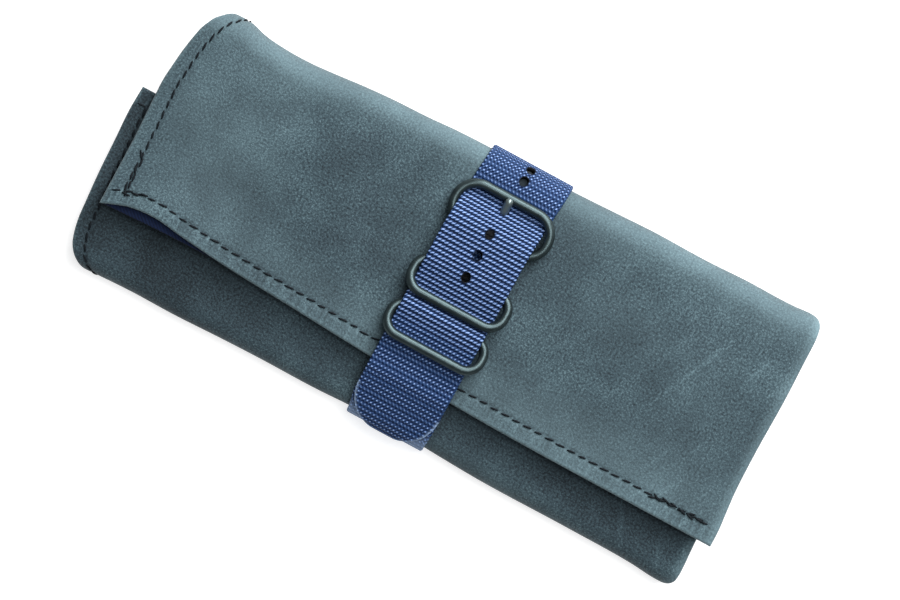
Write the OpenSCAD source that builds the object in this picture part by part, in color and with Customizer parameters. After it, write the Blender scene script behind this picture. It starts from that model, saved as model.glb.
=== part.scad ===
// Leather brush roll folded in three, held shut by a webbing strap with a pin buckle and two keeper rings.
// X runs along the roll, Y from the front fold to the back fold, Z up from the table.
// The origin lies on the underside of the strap, in the middle of its run below the case.

/* [Leather panels] */
// Length of the flap along the roll
flap_l = 196; // [170:1:220]
// Shift of the flap along the roll
flap_shift = -2.3; // [-6:0.1:6]
// Length of the front leaf along the roll
leaf_l = 194; // [170:1:220]
// Shift of the front leaf along the roll
leaf_shift = -6; // [-8:0.1:8]
// Length of the bottom panel and the folds
body_l = 191; // [170:1:220]
// Shift of the bottom panel along the roll
body_shift = -3.5; // [-8:0.1:8]
// Distance of the back fold behind the middle
back_y = 42; // [42:0.5:50]
// Distance of the front fold before the middle
front_y = 41; // [40:0.5:48]
// Distance of the flap's free edge before the middle
flap_edge = 25; // [22:0.5:28]
// Distance of the front leaf's free edge behind the middle
leaf_edge = 12; // [4:0.5:16]
// Thickness of the leather
leather_t = 1.6; // [1.2:0.1:2]
// Thickness of the lining
lining_t = 0.8; // [0.5:0.1:1]
// Width of the turned-in hem at the closed ends
hem_w = 12; // [8:0.5:20]

/* [Inside] */
// Thickness of the pocket panel
pocket_t = 1; // [0.6:0.1:1.6]
// Depth of the pockets from the closed end
pocket_depth = 96; // [60:1:120]
// Number of pockets
pocket_count = 6; // [3:1:9]
// Free height for brushes over the pocket panel
brush_space = 5.4; // [4.6:0.1:8]

/* [Sewing] */
// Distance of the seams from the leather edge
seam_inset = 4.7; // [3:0.1:7]
// Spacing of the stitches
stitch_pitch = 3.6; // [2.5:0.1:5]
// Length of one stitch
stitch_l = 2.4; // [1.5:0.1:2.4]
// Width of the thread
thread_w = 0.8; // [0.5:0.05:1]
// Height of a stitch over the leather
thread_h = 0.2; // [0.1:0.05:0.2]

/* [Webbing strap] */
// Width of the webbing
strap_w = 25.4; // [20:0.2:25.4]
// Thickness of the webbing
strap_t = 1.4; // [1:0.1:1.6]
// Thickness of the folded-back end that holds the rings
loop_t = 1; // [0.7:0.1:1.2]
// Width of the folded-back end
loop_w = 20.6; // [16:0.2:20.6]
// Spacing of the punched holes
hole_pitch = 6.8; // [5.5:0.1:8]
// Width of a punched hole
hole_w = 2.5; // [2:0.1:3]
// Number of punched holes in front of the buckle bar
hole_count = 2; // [1:1:4]

/* [Buckle and keepers] */
// Diameter of the ring wire
wire_d = 2.7; // [2.2:0.1:2.8]
// Clearance between the edge of the webbing and the ring wire, on each side
ring_clear = 0.45; // [0.45:0.05:1.5]
// Width of the rings at the middle of the wire
ring_w = strap_w + wire_d + 2 * ring_clear;
// Place of the buckle's strap bar
pivot_y = 20.5; // [20.5:0.1:21.5]
// Distance from the strap bar to the front bar of the buckle
frame_reach = 13.7; // [13.2:0.1:13.9]
// Place of the upper keeper's held bar
upper_keeper_y = 8; // [7.5:0.1:8.5]
// Place of the lower keeper's held bar
lower_keeper_y = -6; // [-6.5:0.1:-5.5]
// Distance from a keeper's held bar to its free bar
keeper_reach = 9; // [8.8:0.1:9.4]
// Corner radius of the rings at the middle of the wire
ring_corner = 3.6; // [3:0.1:3.6]
// Corner radius of the buckle frame's outer end, wider than the rest
frame_corner = 6.5; // [4:0.1:7]
// Diameter of the prong
prong_d = 2; // [1.6:0.1:2.2]

/* [Hidden] */
// Gap between soft layers that move against each other
gap = 0.3;
// Gap between metal and what lies against it
fit = 0.15;
// Half width of the rise of the webbing over a ring bar
rise_w = 5;
// Step of the webbing outline
web_step = 0.5;
// Radius of the rounded tail end, a little over half of the webbing
tip_over = 0.3;
tip_r = strap_w / 2 + tip_over;

// Layers from the table upwards
leather_z = strap_t;
lining_z = leather_z + leather_t;
pocket_z = lining_z + lining_t;
leaf_z = pocket_z + pocket_t + brush_space;
leaf_top = leaf_z + lining_t + leather_t;
flap_z = leaf_top + gap;
flap_top = flap_z + lining_t + leather_t;
base_z = flap_top + gap;
base_top = base_z + strap_t;

// Folds, each about an axis along X
front_r = (leaf_top - leather_z) / 2;
front_cy = -front_y + front_r;
front_cz = leather_z + front_r;
back_r = (flap_top - leather_z) / 2;
back_cy = back_y - back_r;
back_cz = leather_z + back_r;
wrap_r = base_top / 2;
wrap_in = wrap_r - strap_t + 0.05;

// Panel ends along X
flap_x0 = flap_shift - flap_l / 2;
flap_x1 = flap_shift + flap_l / 2;
leaf_x0 = leaf_shift - leaf_l / 2;
leaf_x1 = leaf_shift + leaf_l / 2;
body_x0 = body_shift - body_l / 2;
body_x1 = body_shift + body_l / 2;
nose_r = (leather_t + lining_t) / 2;

// Rings, folded-back end and tail
wire_r = wire_d / 2;
bar_z = base_top + fit + wire_r;
loop_in = wire_r + fit;
rise_h = bar_z + loop_in - base_top;
loop_top = base_top + loop_t;
tail_z = loop_top + gap;
tail_top = tail_z + strap_t;
loop_end_y = lower_keeper_y - rise_w - 2;
frame_y = pivot_y + frame_reach;
free_bar_z = tail_top + fit + wire_r;
keeper_span = norm([keeper_reach, free_bar_z - bar_z]);
keeper_tilt = atan2(free_bar_z - bar_z, keeper_reach);
tail_back_y = frame_y - wire_r + fit;
tail_mid_y = lower_keeper_y - keeper_reach - 2;
tail_low_y = tail_mid_y - 6;
tail_tip_y = -front_y;

// Prong: an eye round the strap bar, level to the bend, then up over the front bar
prong_r = prong_d / 2;
prong_fit = 0.1;
eye_in = wire_r + prong_fit;
eye_out = eye_in + 1;
bend_l = 6.5;
rest_l = frame_reach - bend_l;
bend_angle = asin((wire_r + prong_r + prong_fit) / rest_l);
prong_end = rest_l + 0.8;
slot_w = prong_d + 2 * gap;
slot_y0 = pivot_y + bend_l - 2.6;
slot_y1 = pivot_y + bend_l + 3.4;
eye_room = eye_out + gap;
pocket_row = (back_cy - front_cy) / pocket_count;
lock_l = 16;
anchor_l = 30;

leather_c = [0.27, 0.35, 0.38];
lining_c = [0.08, 0.11, 0.28];
web_c = [0.13, 0.2, 0.42];
metal_c = [0.24, 0.25, 0.24];
thread_c = [0.06, 0.07, 0.08];

// Smooth step from 0 to 1
function ease(t) = let (c = min(max(t, 0), 1)) c * c * (3 - 2 * c);

// Rise of the webbing over a bar at distance d
function rise(d) = rise_h * (1 - ease(abs(d) / rise_w));

// Underside of the folded-back end
function loop_height(y) = base_top + max(rise(y - pivot_y), rise(y - upper_keeper_y), rise(y - lower_keeper_y));

// Underside of the tail, from the back fold over the bars to the front
function tail_height(y) =
    y > pivot_y ? base_z + (tail_z + rise_h - base_z) * (1 - ease((y - pivot_y) / (tail_back_y - pivot_y)))
    : y > tail_mid_y ? loop_height(y) + loop_t + gap
    : base_top + gap + loop_t * ease((y - tail_low_y) / (tail_mid_y - tail_low_y));

// A box between two corners
module block(x0, x1, y0, y1, z0, z1) {
    translate([x0, y0, z0]) cube([x1 - x0, y1 - y0, z1 - z0]);
}

// A YZ outline drawn out along X
module along_x(x0, x1, outline) {
    translate([x0, 0, 0]) rotate([90, 0, 90]) linear_extrude(height = x1 - x0) polygon(outline);
}

// Half of a tube along X, towards +Y or -Y
module half_tube(x0, x1, cy, cz, outer, inner, side) {
    translate([x0, cy, cz]) rotate([90, 0, 90]) difference() {
        cylinder(r = outer, h = x1 - x0, $fn = 96);
        translate([0, 0, -1]) cylinder(r = inner, h = x1 - x0 + 2, $fn = 96);
        translate([side > 0 ? -2 * outer : 0, -2 * outer, -1]) cube([2 * outer, 4 * outer, x1 - x0 + 2]);
    }
}

// A leather panel turned in at its closed end, the hem lying on the lining side
module turned_panel(x0, x1, y0, y1, z, lining_below) {
    block(x0, x1 - nose_r, y0, y1, lining_below ? z + lining_t : z, lining_below ? z + 2 * nose_r : z + leather_t);
    block(x1 - hem_w, x1 - nose_r, y0, y1, lining_below ? z : z + leather_t, lining_below ? z + lining_t : z + 2 * nose_r);
    translate([x1 - nose_r, y1, z + nose_r]) rotate([90, 0, 0]) difference() {
        cylinder(r = nose_r, h = y1 - y0, $fn = 48);
        translate([-2 * nose_r, -2 * nose_r, -1]) cube([2 * nose_r, 4 * nose_r, y1 - y0 + 2]);
    }
}

// A row of stitches along X or along Y, lying on a face
module row_x(x0, x1, y, z, h) {
    n = floor((x1 - x0) / stitch_pitch);
    for (i = [0 : n - 1])
        block(x0 + i * stitch_pitch, x0 + i * stitch_pitch + stitch_l, y - thread_w / 2, y + thread_w / 2, z, z + h);
}

module row_y(y0, y1, x, z, h) {
    n = floor((y1 - y0) / stitch_pitch);
    for (i = [0 : n - 1])
        block(x - thread_w / 2, x + thread_w / 2, y0 + i * stitch_pitch, y0 + i * stitch_pitch + stitch_l, z, z + h);
}

// A closed wire ring, its first bar on the X axis and the other, with its own corners, at +span along Y
module wire_ring(span, far_corner) {
    half = ring_w / 2;
    translate([-half + ring_corner, 0, 0]) rotate([0, 90, 0])
        cylinder(r = wire_r, h = 2 * (half - ring_corner), $fn = 48);
    translate([-half + far_corner, span, 0]) rotate([0, 90, 0])
        cylinder(r = wire_r, h = 2 * (half - far_corner), $fn = 48);
    for (side = [-1, 1]) {
        translate([side * half, ring_corner, 0]) rotate([-90, 0, 0])
            cylinder(r = wire_r, h = span - ring_corner - far_corner, $fn = 48);
        translate([side * (half - far_corner), span - far_corner, 0]) rotate([0, 0, side > 0 ? 0 : 90])
            rotate_extrude(angle = 90, $fn = 64) translate([far_corner, 0]) circle(r = wire_r, $fn = 48);
        translate([side * (half - ring_corner), ring_corner, 0]) rotate([0, 0, side > 0 ? -90 : 180])
            rotate_extrude(angle = 90, $fn = 64) translate([ring_corner, 0]) circle(r = wire_r, $fn = 48);
    }
}

// The grooves and threads of the anchor seam under the strap
module anchor_rows() {
    for (x = [-strap_w / 2 + 3, strap_w / 2 - 3]) row_y(-anchor_l / 2, anchor_l / 2, x, 0, gap);
    for (y = [-anchor_l / 2 - 1.6, anchor_l / 2 + 0.6]) row_x(-strap_w / 2 + 3, strap_w / 2 - 3, y, 0, gap);
}

module bottom_leather() {
    color(leather_c) turned_panel(body_x0, body_x1, front_cy, back_cy, leather_z, false);
}

module bottom_lining() {
    color(lining_c) block(body_x0, body_x1 - hem_w, front_cy, back_cy, lining_z, lining_z + lining_t);
}

module pocket_panel() {
    color(lining_c)
        block(body_x1 - pocket_depth, body_x1 - nose_r, front_cy, back_cy, pocket_z, pocket_z + pocket_t);
}

module pocket_divider_seams() {
    color(thread_c)
        for (i = [1 : pocket_count - 1])
            row_x(body_x1 - pocket_depth + 2, body_x1 - hem_w, front_cy + i * pocket_row,
                  pocket_z + pocket_t, thread_h);
}

module bottom_end_seam() {
    color(thread_c)
        row_y(front_cy, back_cy, body_x0 + seam_inset, leather_z - thread_h, thread_h);
}

module back_fold_leather() {
    color(leather_c) half_tube(body_x0, body_x1, back_cy, back_cz, back_r, back_r - leather_t, 1);
}

module back_fold_lining() {
    color(lining_c)
        half_tube(body_x0, body_x1 - hem_w, back_cy, back_cz, back_r - leather_t,
                  back_r - leather_t - lining_t, 1);
}

module front_fold_leather() {
    color(leather_c) half_tube(body_x0, body_x1, front_cy, front_cz, front_r, front_r - leather_t, -1);
}

module front_fold_lining() {
    color(lining_c)
        half_tube(body_x0, body_x1 - hem_w, front_cy, front_cz, front_r - leather_t,
                  front_r - leather_t - lining_t, -1);
}

module strap_under() {
    color(web_c) difference() {
        block(-strap_w / 2, strap_w / 2, front_cy, back_cy, 0, strap_t);
        anchor_rows();
    }
}

module strap_anchor_seam() {
    color(thread_c) anchor_rows();
}

module strap_back_wrap() {
    color(web_c) half_tube(-strap_w / 2, strap_w / 2, back_cy, wrap_r, wrap_r, wrap_in, 1);
}

module strap_front_wrap() {
    color(web_c) half_tube(-strap_w / 2, strap_w / 2, front_cy, wrap_r, wrap_r, wrap_in, -1);
}

module flap_leather() {
    color(leather_c) turned_panel(flap_x0, flap_x1, -flap_edge, back_cy, flap_z, true);
}

module flap_lining() {
    color(lining_c) block(flap_x0, flap_x1 - hem_w, -flap_edge, back_cy, flap_z, flap_z + lining_t);
}

module flap_front_seam() {
    color(thread_c)
        row_x(flap_x0 + seam_inset + stitch_pitch, flap_x1 - seam_inset, -flap_edge + seam_inset,
              flap_top, thread_h);
}

module flap_end_seam() {
    color(thread_c)
        row_y(-flap_edge + seam_inset, back_cy, flap_x0 + seam_inset, flap_top, thread_h);
}

module flap_lock_stitches() {
    color(thread_c) {
        row_x(flap_x1 - seam_inset - lock_l, flap_x1 - seam_inset, -flap_edge + seam_inset + 1.2 * thread_w,
              flap_top, thread_h);
        row_y(-flap_edge + seam_inset, -flap_edge + seam_inset + lock_l, flap_x0 + seam_inset - 1.2 * thread_w,
              flap_top, thread_h);
    }
}

// The free end of the strap: over the buckle bar, through both keepers, rounded at its tip
module strap_tail() {
    ys = [for (y = [back_cy : -web_step : tail_tip_y - web_step]) y];
    outline = concat(
        [for (y = ys) [y, tail_height(y)]],
        [for (i = [len(ys) - 1 : -1 : 0]) [ys[i], tail_height(ys[i]) + strap_t]]
    );
    color(web_c) difference() {
        along_x(-strap_w / 2, strap_w / 2, outline);
        difference() {
            block(-strap_w, strap_w, tail_tip_y - tip_r, tail_tip_y + tip_r, 0, 2 * tail_top);
            translate([0, tail_tip_y + tip_r, -1]) cylinder(r = tip_r, h = 2 * tail_top + 2, $fn = 96);
        }
        block(-slot_w / 2, slot_w / 2, slot_y0, slot_y1, 0, 2 * tail_top);
        for (i = [1 : hole_count])
            translate([0, pivot_y + 1 - i * hole_pitch, 0]) cylinder(d = hole_w, h = 2 * tail_top, $fn = 32);
    }
}

module front_leather() {
    color(leather_c) turned_panel(leaf_x0, leaf_x1, front_cy, leaf_edge, leaf_z, true);
}

module front_lining() {
    color(lining_c) block(leaf_x0, leaf_x1 - hem_w, front_cy, leaf_edge, leaf_z, leaf_z + lining_t);
}

module front_edge_seam() {
    color(thread_c)
        row_x(leaf_x0 + seam_inset + stitch_pitch, leaf_x1 - seam_inset, leaf_edge - seam_inset,
              leaf_top, thread_h);
}

module front_end_seam() {
    color(thread_c)
        row_y(front_cy, leaf_edge - seam_inset, leaf_x0 + seam_inset, leaf_top, thread_h);
}

// The buckle end: on the flap, round the buckle bar, and folded back over the keeper bars
module strap_buckle_end() {
    ys = [for (y = [pivot_y : -web_step : loop_end_y]) y];
    outline = concat(
        [for (y = ys) [y, loop_height(y)]],
        [for (i = [len(ys) - 1 : -1 : 0]) [ys[i], loop_height(ys[i]) + loop_t]]
    );
    color(web_c) difference() {
        union() {
            block(-strap_w / 2, strap_w / 2, front_cy, pivot_y, base_z, base_top);
            along_x(-loop_w / 2, loop_w / 2, outline);
            half_tube(-loop_w / 2, loop_w / 2, pivot_y, bar_z, loop_in + loop_t, loop_in, 1);
        }
        block(-slot_w / 2, slot_w / 2, pivot_y - eye_room, pivot_y + eye_room, base_z - 1, tail_top + rise_h);
    }
}

module loop_bartacks() {
    rows = [(pivot_y + upper_keeper_y) / 2, (upper_keeper_y + lower_keeper_y) / 2, lower_keeper_y - rise_w - 1];
    color(thread_c)
        for (y = rows)
            row_x(-loop_w / 2 + 1, loop_w / 2 - 1, y, loop_height(y) + loop_t, thread_h);
}

module buckle_frame() {
    color(metal_c) translate([0, pivot_y, bar_z]) wire_ring(frame_reach, frame_corner);
}

module buckle_prong() {
    along = [cos(bend_angle), sin(bend_angle)];
    across = [-sin(bend_angle), cos(bend_angle)];
    bend = [bend_l, 0];
    turn = prong_r * tan(bend_angle / 2);
    shank = [
        [0, -prong_r], [bend_l + turn, -prong_r],
        bend + along * (prong_end - prong_r) - across * prong_r,
        bend + along * prong_end - across * prong_r / 2,
        bend + along * prong_end + across * prong_r / 2,
        bend + along * (prong_end - prong_r) + across * prong_r,
        [bend_l - turn, prong_r], [0, prong_r]
    ];
    color(metal_c) translate([-prong_r, pivot_y, bar_z]) rotate([90, 0, 90]) linear_extrude(height = prong_d)
        difference() {
            union() {
                circle(r = eye_out, $fn = 64);
                polygon(shank);
            }
            circle(r = eye_in, $fn = 64);
        }
}

module keeper(y) {
    color(metal_c) translate([0, y, bar_z]) rotate([0, 0, 180]) rotate([keeper_tilt, 0, 0]) wire_ring(keeper_span, ring_corner);
}

module keeper_upper() {
    keeper(upper_keeper_y);
}

module keeper_lower() {
    keeper(lower_keeper_y);
}

bottom_leather();
bottom_lining();
pocket_panel();
pocket_divider_seams();
bottom_end_seam();
back_fold_leather();
back_fold_lining();
front_fold_leather();
front_fold_lining();
strap_under();
strap_anchor_seam();
strap_back_wrap();
strap_front_wrap();
flap_leather();
flap_lining();
flap_front_seam();
flap_end_seam();
flap_lock_stitches();
strap_tail();
front_leather();
front_lining();
front_edge_seam();
front_end_seam();
strap_buckle_end();
loop_bartacks();
buckle_frame();
buckle_prong();
keeper_upper();
keeper_lower();
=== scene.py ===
"""A nubuck brush roll folded in three and strapped shut, seen from above on a white table."""
import math

import bmesh
import bpy
import numpy as np
from mathutils import Matrix, Vector, noise


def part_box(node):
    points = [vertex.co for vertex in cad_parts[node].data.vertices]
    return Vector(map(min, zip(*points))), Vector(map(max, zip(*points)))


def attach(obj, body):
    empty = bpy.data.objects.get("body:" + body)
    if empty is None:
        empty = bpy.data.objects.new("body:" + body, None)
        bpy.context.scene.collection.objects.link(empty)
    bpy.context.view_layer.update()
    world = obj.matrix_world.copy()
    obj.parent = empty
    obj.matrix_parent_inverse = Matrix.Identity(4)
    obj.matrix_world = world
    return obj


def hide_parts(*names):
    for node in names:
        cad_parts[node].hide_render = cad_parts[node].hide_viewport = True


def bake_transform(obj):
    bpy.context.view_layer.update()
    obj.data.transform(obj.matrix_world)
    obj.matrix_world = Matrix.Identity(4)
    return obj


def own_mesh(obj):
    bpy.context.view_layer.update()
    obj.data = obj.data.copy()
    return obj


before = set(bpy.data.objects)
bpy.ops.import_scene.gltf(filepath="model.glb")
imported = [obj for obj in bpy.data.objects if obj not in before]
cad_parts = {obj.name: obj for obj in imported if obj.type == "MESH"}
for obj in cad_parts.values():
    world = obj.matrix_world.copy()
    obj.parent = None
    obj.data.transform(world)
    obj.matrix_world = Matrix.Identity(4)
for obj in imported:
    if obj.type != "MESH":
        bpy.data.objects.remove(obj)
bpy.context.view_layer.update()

# The table and the camera: a white sweep lit by a wide soft box, seen straight from above with the
# roll turned so that its turned-in end points down to the right.
stage = bpy.context.scene
stage.view_settings.view_transform = "Standard"
camera_data = bpy.data.cameras.new("camera")
camera = bpy.data.objects.new("camera", camera_data)
camera_height = 1.2
view_wide = 0.2511
camera_data.sensor_width = 36
camera_data.lens = camera_data.sensor_width * camera_height / view_wide
camera_data.clip_end = 10
to_right = Vector((0.8788, 0.4772, 0))
to_top = Vector((-0.4772, 0.8788, 0))
camera.matrix_world = Matrix.Translation((-0.0015, 0.0003, 0.0153 + camera_height)) @ Matrix(
    (to_right, to_top, Vector((0, 0, 1)))
).transposed().to_4x4()
stage.collection.objects.link(camera)
stage.camera = camera

table_paint = bpy.data.materials.new("table_white")
table_paint.use_nodes = True
table_shader = table_paint.node_tree.nodes["Principled BSDF"]
table_shader.inputs["Base Color"].default_value = (0.5, 0.5, 0.5, 1)
table_shader.inputs["Roughness"].default_value = 0.9
table_shader.inputs["Emission Color"].default_value = (1, 1, 1, 1)
table_shader.inputs["Emission Strength"].default_value = 0.72
table_mesh = bpy.data.meshes.new("table")
table_mesh.from_pydata([(-2, -2, 0), (2, -2, 0), (2, 2, 0), (-2, 2, 0)], [], [(0, 1, 2, 3)])
table_mesh.materials.append(table_paint)
table = bpy.data.objects.new("table", table_mesh)
stage.collection.objects.link(table)

world = bpy.data.worlds.new("studio")
world.use_nodes = True
world.node_tree.nodes["Background"].inputs["Color"].default_value = (0.95, 0.98, 1.0, 1)
world.node_tree.nodes["Background"].inputs["Strength"].default_value = 0.24
stage.world = world
for lamp_name, place, size, power in (
    ("softbox", (0.12, 0.85, 0.62), 0.7, 20.0),
    ("top_light", (0.2, 0.28, 1.05), 0.6, 9.5),
):
    lamp_data = bpy.data.lights.new(lamp_name, "AREA")
    lamp_data.size = size
    lamp_data.energy = power
    lamp = bpy.data.objects.new(lamp_name, lamp_data)
    lamp.location = place
    lamp.rotation_euler = (Vector((0, 0, 0)) - Vector(place)).to_track_quat("-Z", "Y").to_euler()
    stage.collection.objects.link(lamp)


# The leather case: one hide cut as a long strip, folded up at the front and over at the back. It is
# waxed nubuck, dusty blue-grey, paler where it is rubbed and bent, with cut edges at the sewn end
# and edges turned in at the other.
class Wire:
    """A shader socket that can be used in sums."""

    def __init__(self, tree, socket):
        self.tree = tree
        self.socket = socket

    def node(self, kind, settings=None, output=0, **links):
        made = self.tree.nodes.new(kind)
        for key, value in (settings or {}).items():
            if key == "stops":
                ramp = made.color_ramp
                while len(ramp.elements) < len(value):
                    ramp.elements.new(0.5)
                for stop, (at, colour) in zip(ramp.elements, value):
                    stop.position = at
                    stop.color = (*colour, 1)
            else:
                setattr(made, key, value)
        for key, value in links.items():
            name = key.replace("_", " ")
            socket = made.inputs[int(key[3:])] if key.startswith("in_") else made.inputs[name]
            if isinstance(value, Wire):
                self.tree.links.new(value.socket, socket)
            else:
                socket.default_value = value
        return Wire(self.tree, made.outputs[output])

    def math(self, operation, other=0.0, flipped=False):
        a, b = (other, self) if flipped else (self, other)
        return self.node("ShaderNodeMath", {"operation": operation}, in_0=a, in_1=b)

    def __add__(self, other):
        return self.math("ADD", other)

    def __sub__(self, other):
        return self.math("SUBTRACT", other)

    def __rsub__(self, other):
        return self.math("SUBTRACT", other, True)

    def __mul__(self, other):
        return self.math("MULTIPLY", other)

    def __pow__(self, other):
        return self.math("POWER", other)

    __radd__ = __add__
    __rmul__ = __mul__

    def step(self, low, high):
        return self.node("ShaderNodeMapRange", {"interpolation_type": "SMOOTHSTEP"}, Value=self,
                         From_Min=low, From_Max=high)

    def mix(self, first, second):
        return self.node("ShaderNodeMix", {"data_type": "RGBA"}, 2, in_0=self, in_6=first, in_7=second)


def finish_of(name, roughness, metallic=0.0, sheen=0.0, specular=0.5):
    """A new material, its shader, and a Wire to start its nodes from."""
    material = bpy.data.materials.new(name)
    material.use_nodes = True
    shader = material.node_tree.nodes["Principled BSDF"]
    shader.inputs["Roughness"].default_value = roughness
    shader.inputs["Metallic"].default_value = metallic
    shader.inputs["Sheen Weight"].default_value = sheen
    shader.inputs["Specular IOR Level"].default_value = specular
    return material, shader, Wire(material.node_tree, None)


def plug(wire, shader, name):
    wire.tree.links.new(wire.socket, shader.inputs[name])


def srgb(r, g, b):
    """A colour as seen on a screen, 0 to 255, in the linear values that the shader takes."""
    return tuple(((c / 255 + 0.055) / 1.055) ** 2.4 if c > 10 else c / 255 / 12.92 for c in (r, g, b))


nubuck, shader, wire = finish_of("nubuck", 0.8, sheen=0.12, specular=0.25)
shader.inputs["Sheen Roughness"].default_value = 0.45
in_plane = {"noise_dimensions": "2D"}
hide = wire.node("ShaderNodeVectorMath", {"operation": "SCALE"}, Scale=1000.0,
                 Vector=wire.node("ShaderNodeUVMap"))
cloud = wire.node("ShaderNodeTexNoise", in_plane, Vector=hide, Scale=0.014, Detail=2.0)
blotch = wire.node("ShaderNodeTexNoise", in_plane, Vector=hide, Scale=0.07, Detail=5.0, Roughness=0.55)
nap = wire.node("ShaderNodeTexNoise", in_plane, Vector=hide, Scale=1.5, Detail=4.0, Roughness=0.8)
pebble = wire.node("ShaderNodeTexVoronoi", {"voronoi_dimensions": "2D"}, Vector=hide, Scale=1.7)
drawn_out = wire.node("ShaderNodeMapping", Vector=hide, Scale=(1.0, 0.16, 1.0))
strain = wire.node("ShaderNodeTexNoise", in_plane, Vector=drawn_out, Scale=0.9, Detail=3.0)
slanted = wire.node("ShaderNodeMapping", {"vector_type": "TEXTURE"}, Vector=hide, Rotation=(0.0, 0.0, 1.1),
                    Scale=(30.0, 2.6, 1.0))
scratches = wire.node("ShaderNodeTexNoise", in_plane, Vector=slanted, Scale=1.0, Detail=3.0).step(0.58, 0.8)
scuff = scratches * wire.node("ShaderNodeSeparateXYZ", Vector=hide).step(-20.0, 70.0)
from_edge = wire.node("ShaderNodeSeparateXYZ", output=1, Vector=hide)
near_edge = 1.0 - from_edge.step(4.2, 7.0)
rub = wire.node("ShaderNodeAttribute", {"attribute_name": "rub"}, 2)
grain = (nap - 0.5) * 1.35 + (0.42 - pebble) * 0.3
tone = (cloud - 0.5) * 0.6 + (blotch - 0.5) * 0.4 + grain + scuff * blotch * 0.27
# The negative part of the wear map darkens the hide: painted shade.
tone = tone + near_edge * (strain - 0.45) * 0.7 + rub.math("MINIMUM", 0.0) + 0.46
tint = wire.node("ShaderNodeValToRGB", {"stops": [
    (0.08, srgb(22, 31, 36)),
    (0.38, srgb(41, 55, 62)),
    (0.58, srgb(55, 73, 80)),
    (0.95, srgb(94, 117, 124)),
]}, Fac=tone)
rubbed = rub.math("MAXIMUM", 0.0) * (0.6 + blotch * 0.4 + grain * 0.5)
plug(rubbed.mix(tint, (*srgb(104, 127, 134), 1)), shader, "Base Color")
plug(0.92 - tone * 0.25, shader, "Roughness")
relief_height = nap * 0.7 - pebble * 0.3 + near_edge * strain * 1.3
plug(wire.node("ShaderNodeBump", Strength=0.6, Distance=0.0003, Height=relief_height), shader, "Normal")


# A panel is laid out as closed loops round its thickness, one loop per station along the hide, so
# every cut edge is rounded. place(s, x) gives points and outward normals of the outer face in mm.
def ease(t):
    t = np.clip(t, 0.0, 1.0)
    return t * t * (3 - 2 * t)


def along(*points):
    """A smooth curve through (position, value) points."""
    at, value = np.array(points, dtype=float).T
    slope = np.gradient(value, at)

    def curve(x):
        x = np.clip(x, at[0], at[-1])
        k = np.clip(np.searchsorted(at, x) - 1, 0, len(at) - 2)
        h = at[k + 1] - at[k]
        t = (x - at[k]) / h
        return ((1 + 2 * t) * (1 - t) ** 2 * value[k] + t * (1 - t) ** 2 * h * slope[k]
                + t * t * (3 - 2 * t) * value[k + 1] + t * t * (t - 1) * h * slope[k + 1])

    return curve


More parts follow.
